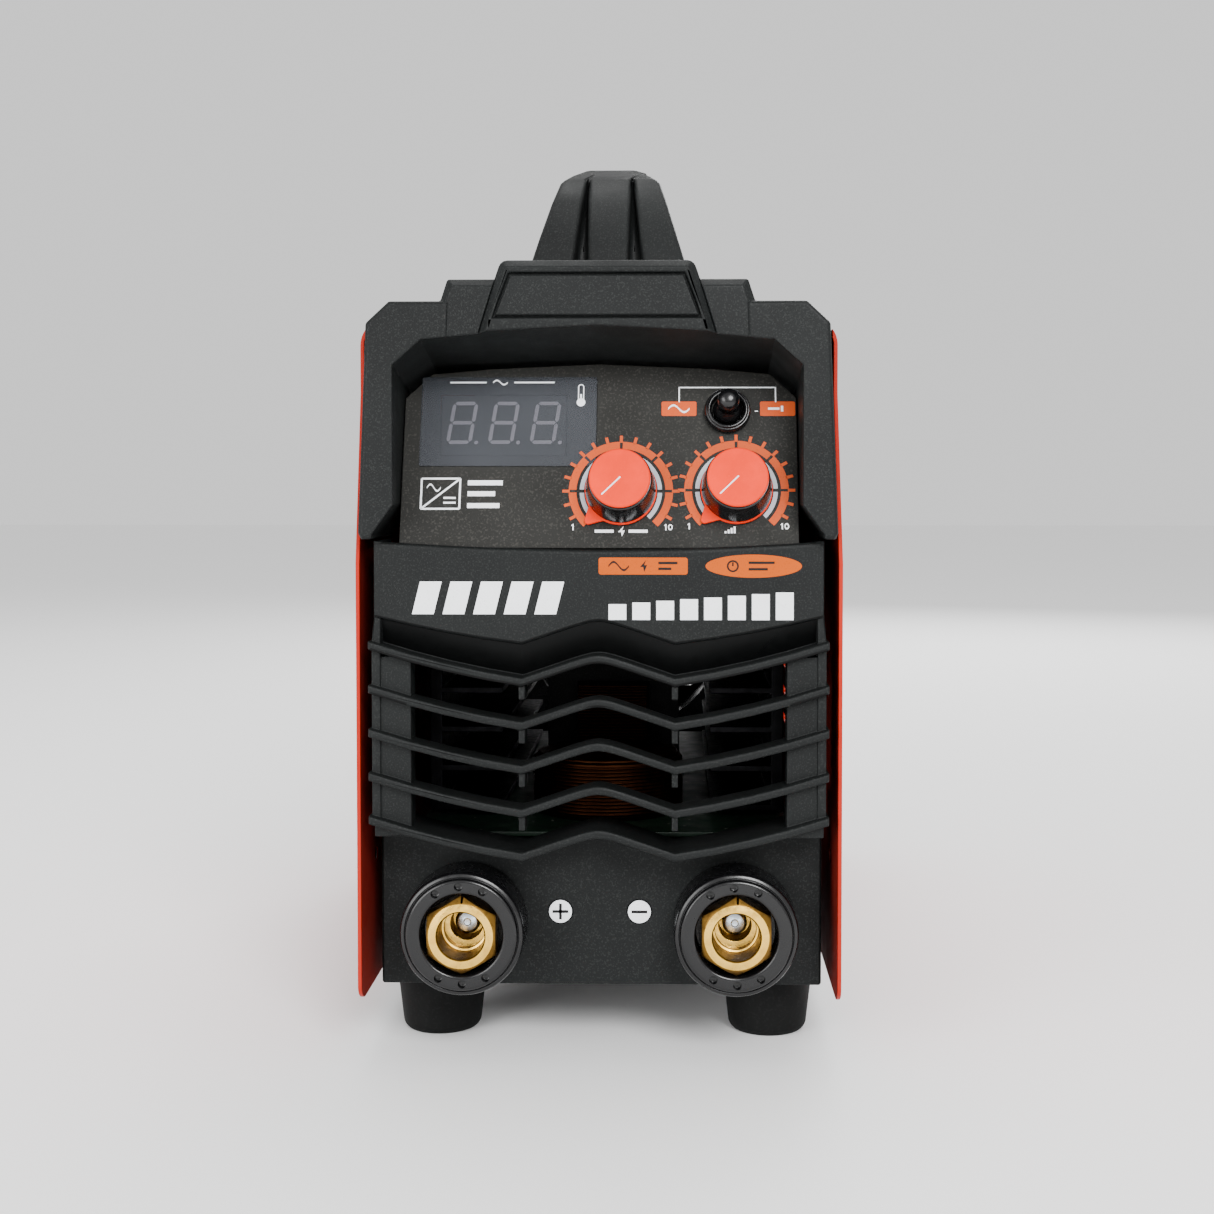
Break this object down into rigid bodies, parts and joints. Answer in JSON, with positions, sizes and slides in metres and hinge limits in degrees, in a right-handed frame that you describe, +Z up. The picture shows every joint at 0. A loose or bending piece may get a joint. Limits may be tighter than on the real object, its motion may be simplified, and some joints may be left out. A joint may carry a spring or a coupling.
{
  "type": "stick welding inverter",
  "caption": "Portable stick welding inverter: louvred front, sloping control panel under a hood, twist-lock sockets, red sheet cover, arched carrying handle and rubber feet.",
  "frame": {"origin": "on the floor, under the middle of the bounding box", "axes": "+X to the machine's right side as seen from its front, +Y from the front to the back, +Z up"},
  "size_m": [0.148, 0.324, 0.2865],
  "materials": {
    "black_plastic": "moulded, finely textured",
    "panel_black": "fine grain, matt",
    "gloss_black": "smooth, semi-gloss",
    "rubber": "matt",
    "red_paint": "powder coated, red-orange",
    "red_plastic": "smooth",
    "chassis_paint": "powder coated, black",
    "orange_plastic": "satin, coral orange",
    "brass": "turned and milled, bright",
    "zinc_steel": "zinc plated",
    "aluminium": "extruded, plain",
    "anodised_black": "extruded, anodised black",
    "smoked_lens": "smoked, smooth",
    "display_grey": "grey face, unlit digits",
    "board_green": "solder mask",
    "ferrite": "sintered, dark grey",
    "copper": "dark enamelled copper wire",
    "capacitor_sleeve": "shrink sleeve",
    "white_print": "white ink"
  },
  "bodies": {
    "housing": {"front_hood": "black_plastic", "front_panel": "black_plastic", "handle": "black_plastic", "rear_panel": "black_plastic", "control_panel": "panel_black", "hood_badge_plate": "panel_black", "toggle_switch_body": "gloss_black", "toggle_nut": "gloss_black", "positive_socket_insulator": "gloss_black", "negative_socket_insulator": "gloss_black", "power_switch_body": "gloss_black", "fan_frame": "gloss_black", "gland_nut": "gloss_black", "foot_front_left": "rubber", "foot_front_right": "rubber", "foot_rear_left": "rubber", "foot_rear_right": "rubber", "cable_gland": "rubber", "case_cover": "red_paint", "base_chassis": "chassis_paint", "positive_socket_contact": "brass", "negative_socket_contact": "brass", "positive_mark": "white_print", "negative_mark": "white_print", "positive_socket_bolt": "zinc_steel", "negative_socket_bolt": "zinc_steel", "arc_force_pot_body": "zinc_steel", "amp_pot_body": "zinc_steel", "cover_screw_left_front_low": "zinc_steel", "cover_screw_left_front_high": "zinc_steel", "cover_screw_left_rear_low": "zinc_steel", "cover_screw_left_rear_high": "zinc_steel", "cover_screw_right_front_low": "zinc_steel", "cover_screw_right_front_high": "zinc_steel", "cover_screw_right_rear_low": "zinc_steel", "cover_screw_right_rear_high": "zinc_steel", "heatsink_left": "anodised_black", "heatsink_right": "anodised_black", "board_rail_left": "aluminium", "board_rail_right": "aluminium", "display_window": "smoked_lens", "display_module": "display_grey", "main_board": "board_green", "control_board": "board_green", "transformer_core": "ferrite", "transformer_winding": "copper", "output_choke": "copper", "capacitor_front": "capacitor_sleeve", "capacitor_rear": "capacitor_sleeve"},
    "arc_force_knob": {"arc_force_knob_skirt": "gloss_black", "arc_force_knob_cap": "orange_plastic", "arc_force_knob_pointer": "orange_plastic", "arc_force_pot_shaft": "aluminium"},
    "amp_knob": {"amp_knob_skirt": "gloss_black", "amp_knob_cap": "orange_plastic", "amp_knob_pointer": "orange_plastic", "amp_pot_shaft": "aluminium"},
    "mode_toggle": {"toggle_lever": "gloss_black"},
    "power_rocker": {"power_rocker": "red_plastic"},
    "cooling_fan": {"fan_impeller": "black_plastic"}
  },
  "joints": [
    {"name": "arc_force_turn", "type": "hinge", "parent": "housing", "child": "arc_force_knob", "pos_m": [0.0064, -0.14642, 0.17126], "axis": [0, 0.9511, -0.309], "range_deg": [0, 270]},
    {"name": "amp_turn", "type": "hinge", "parent": "housing", "child": "amp_knob", "pos_m": [0.0407, -0.14632, 0.17155], "axis": [0, 0.9511, -0.309], "range_deg": [0, 270]},
    {"name": "mode_toggle_tilt", "type": "hinge", "parent": "housing", "child": "mode_toggle", "pos_m": [0.0382, -0.14015, 0.19541], "axis": [0, 0.309, 0.9511], "range_deg": [-12, 12]},
    {"name": "power_rocker_tilt", "type": "hinge", "parent": "housing", "child": "power_rocker", "pos_m": [0.032, 0.1488, 0.19], "axis": [-1, 0, 0], "range_deg": [0, 20]},
    {"name": "fan_spin", "type": "hinge", "parent": "housing", "child": "cooling_fan", "pos_m": [0, 0.132, 0.106], "axis": [0, 1, 0], "continuous": true}
  ]
}
